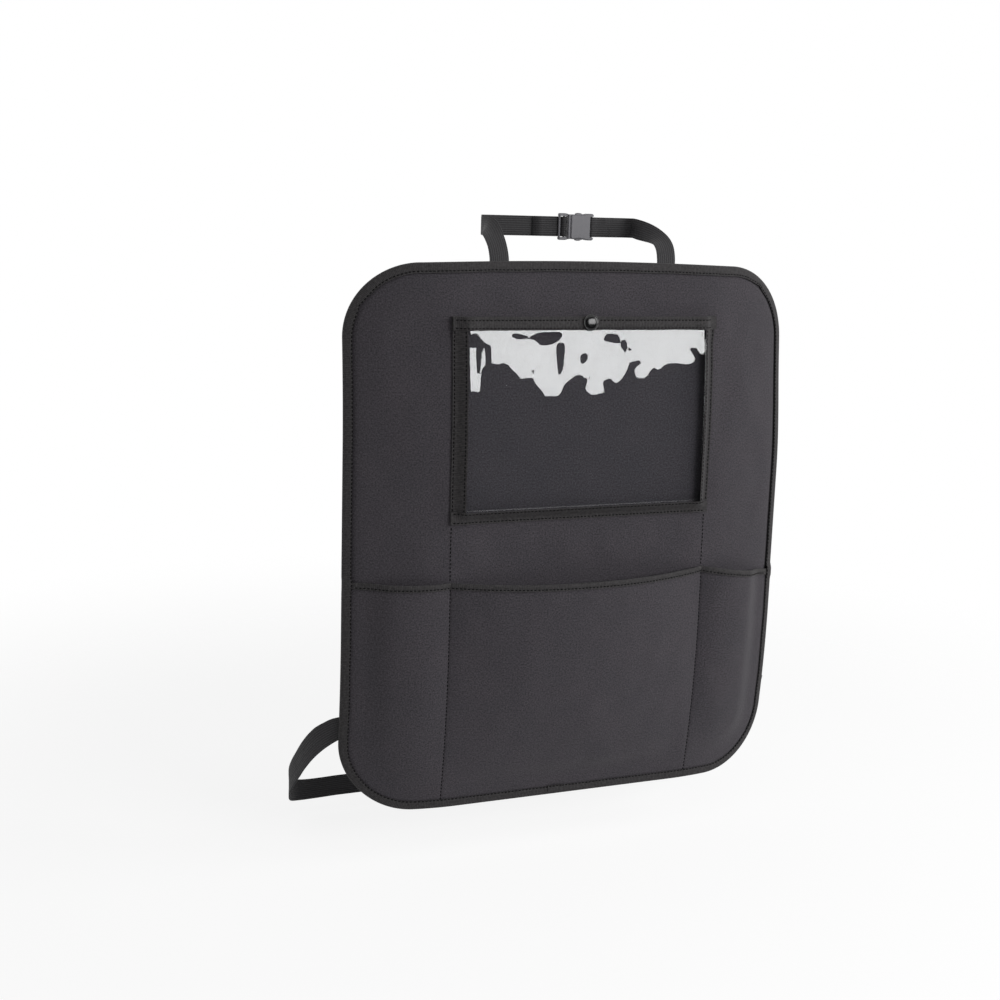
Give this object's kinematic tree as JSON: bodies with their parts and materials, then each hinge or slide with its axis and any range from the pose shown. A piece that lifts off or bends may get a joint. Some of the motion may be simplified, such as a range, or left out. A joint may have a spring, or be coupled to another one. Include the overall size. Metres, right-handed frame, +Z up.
{
  "type": "car seat back organizer",
  "caption": "Padded cloth car seat back organizer with bound edges, a clear tablet pocket closed by a press stud, a row of lower pockets, and webbing straps with side-release buckles.",
  "frame": {"origin": "centre of the panel's flat back face, which rests on the seat back", "axes": "+Y out of the panel's back face towards the seat back, +Z up to the headrest straps, +X to the right as seen from in front of the pockets"},
  "size_m": [0.5306, 0.2028, 0.6403],
  "materials": {
    "panel_cloth": "plain woven polyester cloth laminated to thin foam, charcoal grey",
    "binding_tape": "ribbed woven polyester tape, black",
    "webbing": "woven elastic webbing with lengthwise ribs, black",
    "clear_film": "clear calendered PVC film, glossy",
    "grey_plastic": "moulded acetal, satin, mid grey",
    "black_lacquer": "black lacquered brass, glossy"
  },
  "bodies": {
    "root": {"back_panel": "panel_cloth", "edge_binding": "binding_tape", "lower_pocket_front": "panel_cloth", "window_film": "clear_film", "window_tape_left": "binding_tape", "window_tape_right": "binding_tape", "window_tape_bottom": "binding_tape", "window_tape_top": "binding_tape", "snap_back_post": "black_lacquer", "snap_stud": "black_lacquer", "snap_socket": "black_lacquer", "snap_cap": "black_lacquer", "top_strap_left": "webbing", "top_strap_right": "webbing", "top_buckle_plug": "grey_plastic", "top_buckle_socket": "grey_plastic", "lower_strap_left": "webbing", "lower_strap_right": "webbing", "lower_buckle_plug": "grey_plastic", "lower_buckle_socket": "grey_plastic"}
  },
  "joints": []
}
